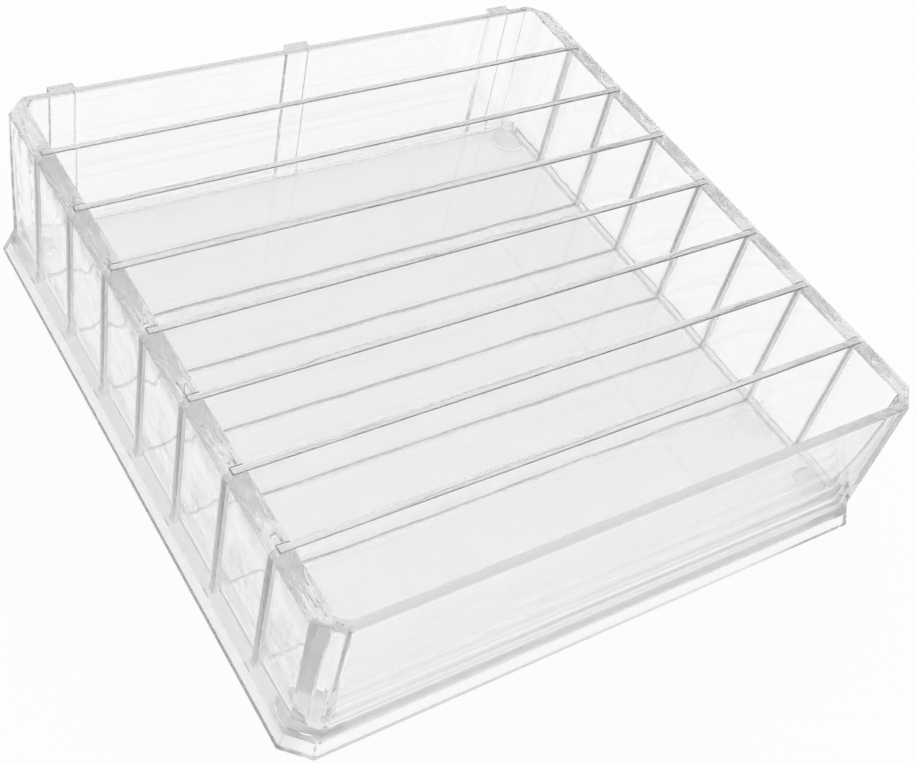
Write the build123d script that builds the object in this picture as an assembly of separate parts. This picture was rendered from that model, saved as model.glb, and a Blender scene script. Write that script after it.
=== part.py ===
from build123d import *
import os

# Clear palette organizer: one moulded tray, seven lift-out dividers and four bumper feet.
# Millimetres. X runs along the dividers, the front of the tray faces -Y, Z is up.
# The origin is on the table, under the middle of the tray.

# Tray, outer form: rim, leaning walls with cut-off corners, flared plinth
rim_width = 232.0
rim_depth = 241.0
rim_height = 65.5
rim_round = 1.6
corner_leg = 7.4
corner_round = 0.8
wall_lean = 0.6
plinth_height = 11.3
plinth_side_flare = 3.2
plinth_end_flare = 2.3
plinth_corner_leg = 8.4
plinth_round = 0.3
lip_height = 0.8

# Tray, inside: cavity, floor and the hollow below it
side_wall = 7.3
side_draft = 0.6
end_wall = 3.2
end_draft = 2.2
cavity_corner_leg = 3.0
cavity_corner_round = 1.5
cavity_rim_round = 1.0
floor_height = 7.4
floor_thickness = 2.6
floor_round = 1.2
skirt_wall = 2.4

# Guide slots in the side walls, carried across the floor as shallow grooves
divider_count = 7
side_skin = 2.5
slot_clearance = 0.15
groove_depth = 1.0

# Ribs on the outside of the back wall, on which the tray can stand upright
rib_count = 3
rib_width = 9.4
rib_spacing = 94.0
rib_round = 0.5

# Dividers
divider_thickness = 2.8
divider_end_clearance = 0.3
divider_foot_clearance = 0.1
divider_round = 0.5

# Bumper feet, stuck to the underside of the floor with a film of adhesive
foot_diameter = 15.0
foot_inset = 14.3
foot_stand = 0.4
foot_bevel = 1.2
adhesive_film = 0.1

# One overrun serves every cut, and edges are found by their place to within one tolerance
overrun = 1.0
edge_tolerance = 0.05

# The leg of a cut-off corner grows by this share of the distance that an outline is offset
leg_growth_share = 2 - 2 ** 0.5

slot_width = divider_thickness + 2 * slot_clearance
slot_reach = rim_width / 2 - side_skin
slot_bottom = floor_height - groove_depth
floor_underside = floor_height - floor_thickness
divider_pitch = (rim_depth - 2 * end_wall + divider_thickness) / (divider_count + 1)
divider_length = 2 * (slot_reach - divider_end_clearance)
divider_bottom = slot_bottom + divider_foot_clearance
divider_height = rim_height - divider_bottom
divider_places = [divider_pitch * (i - (divider_count - 1) / 2) for i in range(divider_count)]
lip_top = foot_stand + lip_height
plinth_edge_x = rim_width / 2 + plinth_side_flare
plinth_edge_y = rim_depth / 2 + plinth_end_flare
on_base = (Align.CENTER, Align.CENTER, Align.MIN)


def cut_corner_plan(half_x, half_y, leg, leg_round, height):
    """An eight-sided outline at one height: a rectangle with its corners cut off and eased."""
    plan = Rectangle(2 * half_x, 2 * half_y)
    plan = chamfer(plan.vertices(), leg)
    plan = fillet(plan.vertices(), leg_round)
    return Pos(0, 0, height) * plan


def rim_plan(inset, height):
    """The rim's outline, moved inward by inset."""
    leg = corner_leg - leg_growth_share * inset
    return cut_corner_plan(rim_width / 2 - inset, rim_depth / 2 - inset, leg, corner_round, height)


def plinth_plan(inset, height):
    """The plinth's widest outline, moved inward by inset."""
    leg = plinth_corner_leg - leg_growth_share * inset
    return cut_corner_plan(plinth_edge_x - inset, plinth_edge_y - inset, leg, corner_round, height)


def cavity_plan(side_inset, end_inset, height):
    """The cavity's outline at the rim, moved inward by the two insets."""
    half_x = rim_width / 2 - side_wall - side_inset
    half_y = rim_depth / 2 - end_wall - end_inset
    return cut_corner_plan(half_x, half_y, cavity_corner_leg, cavity_corner_round, height)


def edges_at(solid, height):
    """Level edges at one height."""
    boxes = [(edge, edge.bounding_box()) for edge in solid.edges()]
    return [
        edge
        for edge, box in boxes
        if abs(box.min.Z - height) < edge_tolerance and abs(box.max.Z - height) < edge_tolerance
    ]


def make_outer_form():
    """Leaning walls on their flared plinth, still solid, with a rounded rim and lower lip."""
    walls = loft([rim_plan(wall_lean, plinth_height), rim_plan(0, rim_height)], ruled=True)
    walls = fillet(edges_at(walls, rim_height), rim_round)
    plinth = loft([plinth_plan(0, lip_top), rim_plan(wall_lean, plinth_height)], ruled=True)
    lip = extrude(plinth_plan(0, foot_stand), lip_height)
    lip = fillet(edges_at(lip, foot_stand), plinth_round)
    return walls + plinth + lip


def make_ribs():
    """Upright ribs from the plinth to the rim, flush with the plinth's back edge."""
    wall_y = rim_depth / 2 - wall_lean - end_wall / 2
    rib = Pos(0, wall_y, lip_top) * Box(
        rib_width, plinth_edge_y - wall_y, rim_height - lip_top, align=(Align.CENTER, Align.MIN, Align.MIN)
    )
    back_face = rib.faces().sort_by(Axis.Y)[-1]
    back_edges = [edge for edge in back_face.edges() if edge.center().Z > lip_top + edge_tolerance]
    rib = fillet(back_edges, rib_round)
    return [Pos(rib_spacing * (i - (rib_count - 1) / 2), 0, 0) * rib for i in range(rib_count)]


def make_cavity():
    """The open box of the tray, narrowing towards a rounded floor."""
    low = cavity_plan(side_draft, end_draft, floor_height)
    cavity = loft([low, cavity_plan(0, 0, rim_height)], ruled=True)
    return fillet(edges_at(cavity, floor_height), floor_round)


def make_underside():
    """The hollow below the floor, inside the plinth's skirt."""
    climb_share = (floor_underside - lip_top) / (plinth_height - lip_top)
    slope = (plinth_side_flare + wall_lean) * climb_share
    low = plinth_plan(skirt_wall, foot_stand)
    return loft([low, plinth_plan(skirt_wall + slope, floor_underside)], ruled=True)


def cavity_rim_edges(tray):
    """The loop where the cavity meets the top of the rim."""
    inner_x = rim_width / 2 - side_wall + edge_tolerance
    inner_y = rim_depth / 2 - end_wall + edge_tolerance
    return [
        edge
        for edge in edges_at(tray, rim_height)
        if abs(edge.center().X) < inner_x and abs(edge.center().Y) < inner_y
    ]


def make_slots():
    """One straight cut per divider: a slot in each side wall and the floor groove between them."""
    cut = Box(2 * slot_reach, slot_width, rim_height - slot_bottom + overrun, align=on_base)
    return [Pos(0, y, slot_bottom) * cut for y in divider_places]


def make_tray():
    tray = make_outer_form()
    for rib in make_ribs():
        tray += rib
    tray -= make_cavity()
    tray = fillet(cavity_rim_edges(tray), cavity_rim_round)
    tray -= make_underside()
    for slot in make_slots():
        tray -= slot
    return tray


def make_divider(y):
    """Flat plate that stands in its groove, with its ends in two facing slots."""
    plate = Box(divider_length, divider_thickness, divider_height, align=on_base)
    plate = fillet(plate.edges().filter_by(Axis.X), divider_round)
    return Pos(0, y, divider_bottom) * plate


def make_foot(x, y):
    """Round pad from the floor's underside down to the table, bevelled where it meets the table."""
    pad = Cylinder(foot_diameter / 2, floor_underside - adhesive_film, align=on_base)
    pad = chamfer(edges_at(pad, 0), foot_bevel)
    return Pos(x, y, 0) * pad


os.makedirs("parts", exist_ok=True)
export_step(make_tray(), "parts/tray.step")

# Divider 1 is the one nearest the front
for number, place in enumerate(divider_places, start=1):
    export_step(make_divider(place), f"parts/divider_{number}.step")

foot_x = plinth_edge_x - foot_inset
foot_y = plinth_edge_y - foot_inset
for side, x in (("left", -foot_x), ("right", foot_x)):
    for end, y in (("front", -foot_y), ("back", foot_y)):
        export_step(make_foot(x, y), f"parts/bumper_foot_{end}_{side}.step")
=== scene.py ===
import math

import bpy
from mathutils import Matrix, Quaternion, Vector


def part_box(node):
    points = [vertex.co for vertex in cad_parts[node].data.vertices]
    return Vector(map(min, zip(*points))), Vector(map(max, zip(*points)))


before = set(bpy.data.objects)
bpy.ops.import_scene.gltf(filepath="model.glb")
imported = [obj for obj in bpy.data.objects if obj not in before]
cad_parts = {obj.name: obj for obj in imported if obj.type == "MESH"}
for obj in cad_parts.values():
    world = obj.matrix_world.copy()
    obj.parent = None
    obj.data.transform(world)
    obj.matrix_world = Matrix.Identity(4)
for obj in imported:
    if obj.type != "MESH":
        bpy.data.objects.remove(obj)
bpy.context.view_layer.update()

# Tray
# One injection moulding in clear polystyrene: floor, walls, slotted sides, flared plinth and back ribs.
# It leaves a polished mould, so it is glossy, with waves and sink marks where the thick sides cool slowly.
# The deep slots stay matte under a faint painted shade, the floor grooves and end-wall rims carry painted
# shade, and the underside is frosted except for a ring round each foot.
rim_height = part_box("tray")[1].z
first_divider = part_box("divider_1")
last_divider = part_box("divider_7")
foot_low, foot_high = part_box("bumper_foot_back_right")
foot_middle = (foot_low + foot_high) / 2
foot_radius = (foot_high.x - foot_low.x) / 2

slot_count = 7
slot_pitch = (last_divider[0].y - first_divider[0].y) / (slot_count - 1)
slot_half_width = 0.0018
slot_mouth = 0.1079
slot_end_play, slot_foot_play, slot_row_play = 0.0006, 0.0004, 0.002
slot_reach = first_divider[1].x + slot_end_play
slot_foot = first_divider[0].z - slot_foot_play
last_slot = last_divider[1].y + slot_row_play
side_blend = 0.002
matte_roughness = 0.4
# Painted shade: how much darker the matte slot faces are drawn
matte_painted_shade = 0.97
# Painted shade in the floor grooves at the dividers' feet
groove_low, groove_top = 0.0066, 0.0072
groove_painted_shade = 0.35
# Painted shade along the tops of the end-wall rims
rim_edge_height = 0.0012
rim_edge_start = 0.1165
rim_edge_painted_shade = 0.75
speckle_spacing = 0.0006
speckle_least, speckle_most = 0.7, 1.2

frost_roughness = 1.0
frost_top = 0.005
foot_ring_half_width = 0.0004
frost_end_start = 0.108
frost_end_share = 0.12
skirt_x, skirt_y = 0.117, 0.1206

polished_roughness = 0.003
smudged_roughness = 0.02
smudge_spacing = 0.03
smudge_start, smudge_full = 0.45, 0.75
haze_top = 0.0088
haze_roughness = 0.01
scuff_roughness = 0.06
scuff_spacing = 0.0016
scuff_stretch = 30
scuff_width = 0.03
scuff_patch_spacing = 0.02
scuff_patch_start, scuff_patch_full = 0.5, 0.7
scuff_turns = (0.5, 2.2)

wave_spacing = 0.009
wave_stretch = (0.3, 1.0, 1.0)
wave_height = 0.00008
side_sink_depth = 0.0003
side_sink_steepness = 4
side_sink_foot = (0.012, 0.03)
side_sink_top = (0.05, 0.063)
rim_sink_depth = 0.0006
rim_sink_middle = 0.1111
rim_sink_half_width = 0.0024
rim_sink_run = slot_pitch / 3
rim_sink_least, rim_sink_most = 0.3, 1.4
rim_skin = 0.0003
noise_low, noise_middle, noise_high = 0.3, 0.5, 0.7

polystyrene_ior = 1.57
polystyrene_grey = (0.5, 0.5, 0.5, 1)
polystyrene_density = 3.0
mask_blur = 0.00005
crease_angle = math.radians(30)
weld_distance = 1e-6
flat_face_weight = 100


def finish_moulded_faces(node):
    """Shades a moulding's flat faces truly flat and its eased edges round."""
    node.data.shade_smooth()
    weld = node.modifiers.new("weld", "WELD")
    weld.merge_threshold = weld_distance
    split = node.modifiers.new("creases", "EDGE_SPLIT")
    split.split_angle = crease_angle
    weighted = node.modifiers.new("flat_faces", "WEIGHTED_NORMAL")
    weighted.mode = "FACE_AREA"
    weighted.weight = flat_face_weight
    weighted.keep_sharp = True


class Finish:
    """A material under construction: its nodes, with short ways to add and join them."""

    def __init__(self, name):
        self.material = bpy.data.materials.new(name)
        self.material.use_nodes = True
        self.tree = self.material.node_tree
        self.shader = self.tree.nodes["Principled BSDF"]
        self.output = self.tree.nodes["Material Output"]
        self.places = self.add("ShaderNodeTexCoord").outputs["Object"]
        axes = self.add("ShaderNodeSeparateXYZ")
        self.join(self.places, axes.inputs["Vector"])
        self.x, self.y, self.z = axes.outputs
        self.across = self.reckon("ABSOLUTE", self.x)
        self.along = self.reckon("ABSOLUTE", self.y)

    def add(self, kind, **settings):
        node = self.tree.nodes.new(kind)
        for key, value in settings.items():
            setattr(node, key, value)
        return node

    def join(self, source, target):
        self.tree.links.new(source, target)

    def reckon(self, operation, *values):
        """One step of arithmetic on sockets or numbers."""
        node = self.add("ShaderNodeMath", operation=operation)
        for value, socket in zip(values, node.inputs):
            if isinstance(value, (int, float)):
                socket.default_value = value
            else:
                self.join(value, socket)
        return node.outputs["Value"]

    def every(self, *masks):
        """Where all the masks are set."""
        result = masks[0]
        for mask in masks[1:]:
            result = self.reckon("MULTIPLY", result, mask)
        return result

    def fade(self, value, low, high, to_low=0.0, to_high=1.0):
        """A value mapped smoothly from one range to another, and held at its ends."""
        node = self.add("ShaderNodeMapRange", interpolation_type="SMOOTHSTEP")
        self.join(value, node.inputs["Value"])
        node.inputs["From Min"].default_value = low
        node.inputs["From Max"].default_value = high
        node.inputs["To Min"].default_value = to_low
        node.inputs["To Max"].default_value = to_high
        return node.outputs["Result"]

    def above(self, value, edge):
        return self.fade(value, edge - mask_blur, edge + mask_blur)

    def below(self, value, edge):
        return self.fade(value, edge - mask_blur, edge + mask_blur, 1.0, 0.0)

    def noise(self, spacing, stretch=(1, 1, 1), turn=0.0, detail=2.0):
        """Noise whose swells lie a given distance apart, drawn out along each axis by its stretch."""
        mapping = self.add("ShaderNodeMapping", vector_type="TEXTURE")
        mapping.inputs["Rotation"].default_value = (0, 0, turn)
        mapping.inputs["Scale"].default_value = [spacing * s for s in stretch]
        self.join(self.places, mapping.inputs["Vector"])
        texture = self.add("ShaderNodeTexNoise")
        texture.inputs["Scale"].default_value = 1
        texture.inputs["Detail"].default_value = detail
        self.join(mapping.outputs["Vector"], texture.inputs["Vector"])
        return texture.outputs["Fac"]

    def bump(self, height, distance, before=None):
        """A relief of a given height in metres, on top of an earlier one."""
        node = self.add("ShaderNodeBump")
        node.inputs["Distance"].default_value = distance
        self.join(height, node.inputs["Height"])
        if before:
            self.join(before, node.inputs["Normal"])
        return node.outputs["Normal"]

    def scuffs(self, turn):
        """Fine straight scratches: the narrow crossings of a long-drawn noise, in patches."""
        lines = self.noise(scuff_spacing, (scuff_stretch, 1, 1), turn, detail=1.0)
        away = self.reckon("ABSOLUTE", self.reckon("SUBTRACT", lines, noise_middle))
        patches = self.fade(self.noise(scuff_patch_spacing), scuff_patch_start, scuff_patch_full)
        return self.every(self.fade(away, 0, scuff_width, 1.0, 0.0), patches)

    def clear(self, ior, grey, density):
        """A solid that lets light through and takes a little of it on the way."""
        self.shader.inputs["Transmission Weight"].default_value = 1
        self.shader.inputs["IOR"].default_value = ior
        volume = self.add("ShaderNodeVolumeAbsorption")
        volume.inputs["Color"].default_value = grey
        volume.inputs["Density"].default_value = density
        self.join(volume.outputs["Volume"], self.output.inputs["Volume"])

    def polish(self, matte_and_shade, haze, frost=None, painted_shades=()):
        """Gloss with faint smudges, then matte, hazy and frosted faces, each by its mask; the matte faces
        and each painted-shade mask are drawn darker as painted shade.
        """
        smudges = self.noise(smudge_spacing)
        rough = self.fade(smudges, smudge_start, smudge_full, polished_roughness, smudged_roughness)
        scuffed = self.reckon("MAXIMUM", *[self.scuffs(turn) for turn in scuff_turns])
        hazy = self.reckon("MULTIPLY_ADD", scuffed, scuff_roughness, haze_roughness)
        rough = self.reckon("MULTIPLY_ADD", haze, hazy, rough)
        grains = self.noise(speckle_spacing)
        speckle = self.fade(grains, noise_low, noise_high, speckle_least, speckle_most)
        dull_and_shaded = self.reckon("MULTIPLY", matte_and_shade, speckle)
        rough = self.reckon("MULTIPLY_ADD", dull_and_shaded, matte_roughness, rough)
        if frost:
            rough = self.reckon("MULTIPLY_ADD", frost, frost_roughness, rough)
        self.join(rough, self.shader.inputs["Roughness"])
        # Painted shade: the matte faces are drawn a little darker, and each painted-shade mask darker
        # again
        tone = self.reckon("MULTIPLY_ADD", dull_and_shaded, matte_painted_shade - 1, 1)
        for mask, darker in painted_shades:
            tone = self.reckon("MULTIPLY_ADD", mask, darker - 1, tone)
        self.join(tone, self.shader.inputs["Base Color"])


def tray_plastic():
    finish = Finish("tray_clear_polystyrene")
    finish.clear(polystyrene_ior, polystyrene_grey, polystyrene_density)
    reckon, every, fade = finish.reckon, finish.every, finish.fade
    above, below = finish.above, finish.below

    # The slots repeat along the sides, so each place is measured from its nearest slot
    turn = reckon("FLOORED_MODULO", reckon("ADD", finish.y, slot_pitch / 2), slot_pitch)
    from_slot = reckon("ABSOLUTE", reckon("SUBTRACT", turn, slot_pitch / 2))
    in_row = every(below(from_slot, slot_half_width), below(finish.along, last_slot))
    in_side = every(above(finish.across, slot_mouth), below(finish.across, slot_reach))
    # The slot faces are matte and also take a faint painted shade
    matte_and_shade = every(in_row, in_side, above(finish.z, slot_foot))

    # The frost lies inside the skirt, thins towards the end walls and leaves a bare ring round each foot
    inside = every(below(finish.across, skirt_x), below(finish.along, skirt_y))
    thinning = fade(finish.along, frost_end_start, skirt_y, 1.0, frost_end_share)
    foot_x = reckon("SUBTRACT", finish.across, foot_middle.x)
    foot_y = reckon("SUBTRACT", finish.along, foot_middle.y)
    from_foot = reckon("SQRT", reckon("MULTIPLY_ADD", foot_x, foot_x, reckon("MULTIPLY", foot_y, foot_y)))
    from_ring = reckon("ABSOLUTE", reckon("SUBTRACT", from_foot, foot_radius))
    frost = every(inside, thinning, below(finish.z, frost_top), above(from_ring, foot_ring_half_width))

    # The floor grooves take a dark painted shade, and the tops of the end-wall rims a lighter painted
    # shade
    groove_shade = every(in_row, above(finish.z, groove_low), below(finish.z, groove_top))
    rim_low = rim_height - rim_edge_height
    rim_edge_shade = every(above(finish.along, rim_edge_start), above(finish.z, rim_low))
    painted_shades = [(groove_shade, groove_painted_shade), (rim_edge_shade, rim_edge_painted_shade)]
    finish.polish(matte_and_shade, below(finish.z, haze_top), frost, painted_shades)

    # Waves over the thick sides, a hollow between each two slots, and a dished rim
    thick = fade(finish.across, slot_mouth - side_blend, slot_mouth)
    waves = every(finish.noise(wave_spacing, wave_stretch, detail=1.0), thick)
    relief = finish.bump(waves, wave_height)
    from_middle = reckon("DIVIDE", reckon("SUBTRACT", slot_pitch / 2, from_slot), slot_pitch / 2)
    lengthwise = reckon("SUBTRACT", 1, reckon("POWER", from_middle, side_sink_steepness))
    upright = every(fade(finish.z, *side_sink_foot), fade(finish.z, *side_sink_top, 1.0, 0.0))
    side_sink = reckon("MULTIPLY", every(lengthwise, upright, thick), -1)
    relief = finish.bump(side_sink, side_sink_depth, relief)
    from_ridge = reckon("DIVIDE", reckon("SUBTRACT", finish.across, rim_sink_middle), rim_sink_half_width)
    dish = reckon("MAXIMUM", reckon("SUBTRACT", 1, reckon("MULTIPLY", from_ridge, from_ridge)), 0)
    between_slots = fade(from_slot, slot_half_width, rim_sink_run)
    swells = finish.noise(wave_spacing, detail=0.0)
    uneven = fade(swells, noise_low, noise_high, rim_sink_least, rim_sink_most)
    on_rim = above(finish.z, rim_height - rim_skin)
    rim_sink = reckon("MULTIPLY", every(dish, between_slots, on_rim, uneven), -1)
    relief = finish.bump(rim_sink, rim_sink_depth, relief)
    finish.join(relief, finish.shader.inputs["Normal"])
    return finish.material


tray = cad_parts["tray"]
tray.data.materials.clear()
tray.data.materials.append(tray_plastic())
finish_moulded_faces(tray)

# Dividers
# Seven flat plates moulded from the same clear plastic, dropped into facing slots in the side walls.
# Their faces are glossy with a slow wave across them. Their ends are dulled where they rub in the slots,
# and drawn a little darker there as painted shade.
divider_wave_spacing = 0.018
divider_wave_stretch = (1.6, 0.3, 0.8)
divider_wave_height = 0.00006
calm_edge = 0.005
rub_inset, rub_drop = 0.0008, 0.0006
rubbed_end = slot_mouth + rub_inset
rubbed_top = first_divider[1].z - rub_drop
rubbed_and_shade_share = 0.3


def divider_plastic():
    finish = Finish("divider_clear_polystyrene")
    finish.clear(polystyrene_ior, polystyrene_grey, polystyrene_density)
    foot, top = first_divider[0].z, first_divider[1].z
    # The rubbed ends are matte and take a faint painted shade
    rubbed_and_shaded = finish.every(finish.above(finish.across, rubbed_end), finish.below(finish.z, rubbed_top))
    finish.polish(finish.reckon("MULTIPLY", rubbed_and_shaded, rubbed_and_shade_share), finish.below(finish.z, foot))
    swells = finish.noise(divider_wave_spacing, divider_wave_stretch, detail=1.0)
    swells = finish.reckon("SUBTRACT", swells, noise_middle)
    calm_foot = finish.fade(finish.z, foot, foot + calm_edge)
    calm_top = finish.fade(finish.z, top - calm_edge, top, 1.0, 0.0)
    relief = finish.bump(finish.every(swells, calm_foot, calm_top), divider_wave_height)
    finish.join(relief, finish.shader.inputs["Normal"])
    return finish.material


divider_finish = divider_plastic()
for number in range(1, slot_count + 1):
    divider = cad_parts[f"divider_{number}"]
    divider.data.materials.clear()
    divider.data.materials.append(divider_finish)
    finish_moulded_faces(divider)

# Bumper feet
# Four round pads of clear silicone, stuck under the corners of the floor with their own adhesive.
# The material is soft and a little cloudy, with a satin face that picks up dust on the table.
silicone_ior = 1.41
silicone_colour = (0.7, 0.71, 0.72, 1)
silicone_density = 12.0
silicone_tone = (0.95, 0.955, 0.96, 1)
grain_spacing = 0.0009
grain_height = 0.00001
dust_spacing = 0.0015
satin_roughness, dusty_roughness = 0.12, 0.4


def foot_silicone():
    finish = Finish("foot_clear_silicone")
    finish.clear(silicone_ior, silicone_colour, silicone_density)
    finish.shader.inputs["Base Color"].default_value = silicone_tone
    relief = finish.bump(finish.noise(grain_spacing, detail=3.0), grain_height)
    finish.join(relief, finish.shader.inputs["Normal"])
    dust = finish.noise(dust_spacing, detail=4.0)
    dust = finish.fade(dust, noise_middle, noise_high, satin_roughness, dusty_roughness)
    finish.join(dust, finish.shader.inputs["Roughness"])
    return finish.material


foot_finish = foot_silicone()
for side in ("left", "right"):
    for end in ("front", "back"):
        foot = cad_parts[f"bumper_foot_{end}_{side}"]
        foot.data.materials.clear()
        foot.data.materials.append(foot_finish)
        finish_moulded_faces(foot)

# Table
# A plain white table top, white to the eye and a little shaded where it is seen through the plastic.
# It takes a soft shadow from the tray.
table_half = 6.0
table_colour = (0.92, 0.92, 0.92, 1)
white_share = 0.95
shaded_share = 0.91

table_mesh = bpy.data.meshes.new("table")
corners = [(-table_half, -table_half, 0), (table_half, -table_half, 0)]
corners += [(table_half, table_half, 0), (-table_half, table_half, 0)]
table_mesh.from_pydata(corners, [], [(0, 1, 2, 3)])
table = bpy.data.objects.new("table", table_mesh)
bpy.context.scene.collection.objects.link(table)


def table_paint():
    material = bpy.data.materials.new("table_paint")
    material.use_nodes = True
    # The white is for the eye alone, so the table isn't sampled as a lamp
    material.cycles.emission_sampling = "NONE"
    tree = material.node_tree
    tree.nodes.clear()
    paint = tree.nodes.new("ShaderNodeBsdfDiffuse")
    paint.inputs["Color"].default_value = table_colour
    white = tree.nodes.new("ShaderNodeEmission")
    path = tree.nodes.new("ShaderNodeLightPath")
    shares = {"Is Camera Ray": white_share, "Is Glossy Ray": shaded_share}
    shares["Is Transmission Ray"] = shaded_share
    share = None
    for kind, part in shares.items():
        scaled = tree.nodes.new("ShaderNodeMath")
        scaled.operation = "MULTIPLY"
        scaled.inputs[1].default_value = part
        tree.links.new(path.outputs[kind], scaled.inputs[0])
        if share is None:
            share = scaled
            continue
        larger = tree.nodes.new("ShaderNodeMath")
        larger.operation = "MAXIMUM"
        tree.links.new(share.outputs["Value"], larger.inputs[0])
        tree.links.new(scaled.outputs["Value"], larger.inputs[1])
        share = larger
    mix = tree.nodes.new("ShaderNodeMixShader")
    tree.links.new(share.outputs["Value"], mix.inputs["Fac"])
    tree.links.new(paint.outputs["BSDF"], mix.inputs[1])
    tree.links.new(white.outputs["Emission"], mix.inputs[2])
    output = tree.nodes.new("ShaderNodeOutputMaterial")
    tree.links.new(mix.outputs["Shader"], output.inputs["Surface"])
    return material


table_mesh.materials.append(table_paint())

# Studio
# A white light tent round the table, darker where it opens at the front left, so that the edges of the
# clear plastic show as grey lines. The camera looks down into the tray from there.
opening_way = Vector((-0.48, -0.52, 0.71)).normalized()
opening_level = 0.65
tent_level = 1.0
tent_edge, opening_edge = 0.0, 0.7
lens = 57.3651
film_width = 36
near_clip = 0.01
camera_place = Vector((-0.251001, -0.286528, 0.394133))
camera_target = Vector((-0.010939, -0.030666, 0.032826))
camera_roll = math.radians(16.14)
light_bounces = 48
glossy_bounces = 24

scene = bpy.context.scene
scene.view_settings.view_transform = "Standard"
scene.cycles.max_bounces = light_bounces
scene.cycles.transmission_bounces = light_bounces
scene.cycles.glossy_bounces = glossy_bounces

world = bpy.data.worlds.new("light_tent")
world.use_nodes = True
scene.world = world
tent = world.node_tree
way = tent.nodes.new("ShaderNodeTexCoord")
facing = tent.nodes.new("ShaderNodeVectorMath")
facing.operation = "DOT_PRODUCT"
facing.inputs[1].default_value = opening_way
tent.links.new(way.outputs["Generated"], facing.inputs[0])
level = tent.nodes.new("ShaderNodeMapRange")
level.interpolation_type = "SMOOTHSTEP"
level.inputs["From Min"].default_value = tent_edge
level.inputs["From Max"].default_value = opening_edge
level.inputs["To Min"].default_value = tent_level
level.inputs["To Max"].default_value = opening_level
tent.links.new(facing.outputs["Value"], level.inputs["Value"])
tent.links.new(level.outputs["Result"], tent.nodes["Background"].inputs["Strength"])
tent.nodes["Background"].inputs["Color"].default_value = (1, 1, 1, 1)

camera_data = bpy.data.cameras.new("camera")
camera_data.sensor_fit = "HORIZONTAL"
camera_data.sensor_width = film_width
camera_data.lens = lens
camera_data.clip_start = near_clip
camera = bpy.data.objects.new("camera", camera_data)
camera.location = camera_place
camera.rotation_mode = "QUATERNION"
level_view = (camera_place - camera_target).to_track_quat("Z", "Y")
camera.rotation_quaternion = level_view @ Quaternion((0, 0, 1), camera_roll)
scene.collection.objects.link(camera)
scene.camera = camera
